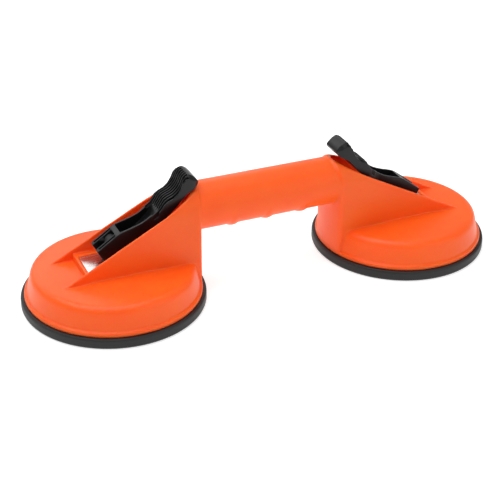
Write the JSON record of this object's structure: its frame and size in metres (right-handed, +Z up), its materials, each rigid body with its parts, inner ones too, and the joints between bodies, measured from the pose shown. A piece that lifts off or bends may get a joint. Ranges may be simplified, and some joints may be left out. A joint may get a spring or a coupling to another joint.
{
  "type": "double suction lifter",
  "caption": "Hand-held tile lifter: two rubber suction pads under an arched plastic body with a hollow grip, each pad drawn up by a forked cam lever.",
  "frame": {"origin": "on the floor plane, midway between the two pads", "axes": "+X along the grip from the left pad to the right pad, +Y away from the viewer's side, +Z up"},
  "size_m": [0.3328, 0.1212, 0.0865],
  "materials": {
    "orange_abs": "satin moulded",
    "black_rubber": "matt, slightly glossy at the rim",
    "black_nylon": "satin moulded",
    "bright_steel": "rolled, bright",
    "phosphated_steel": "dark phosphate",
    "zinc_steel": "zinc plated",
    "black_oxide_steel": "black oxide"
  },
  "bodies": {
    "housing": {"housing": "orange_abs", "wear_plate_left": "bright_steel", "wear_plate_right": "bright_steel", "suction_pad_left": "black_rubber", "suction_pad_right": "black_rubber"},
    "stud_left": {"stud_left": "phosphated_steel", "backing_disc_left": "zinc_steel"},
    "lever_left": {"lever_left": "black_nylon", "lever_pin_left": "black_oxide_steel"},
    "stud_right": {"stud_right": "phosphated_steel", "backing_disc_right": "zinc_steel"},
    "lever_right": {"lever_right": "black_nylon", "lever_pin_right": "black_oxide_steel"}
  },
  "joints": [
    {"name": "stud_slide_left", "type": "slide", "parent": "housing", "child": "stud_left", "axis": [0, 0, -1], "range_m": [0, 0.00181], "deforming": ["suction_pad_left"]},
    {"name": "lever_hinge_left", "type": "hinge", "parent": "stud_left", "child": "lever_left", "pos_m": [-0.10575, 0, 0.0429], "axis": [0, -1, 0], "range_deg": [0, 62]},
    {"name": "stud_slide_right", "type": "slide", "parent": "housing", "child": "stud_right", "axis": [0, 0, -1], "range_m": [-0.00008, 0.00174], "deforming": ["suction_pad_right"]},
    {"name": "lever_hinge_right", "type": "hinge", "parent": "stud_right", "child": "lever_right", "pos_m": [0.10575, 0, 0.0429], "axis": [0, 1, 0], "range_deg": [-2.6, 59.4]}
  ],
  "couplings": [
    {"joint": "stud_slide_left", "follows": "lever_hinge_left", "m_per_rad": 0.0016634},
    {"joint": "stud_slide_right", "follows": "lever_hinge_right", "m_per_rad": 0.0016634}
  ]
}
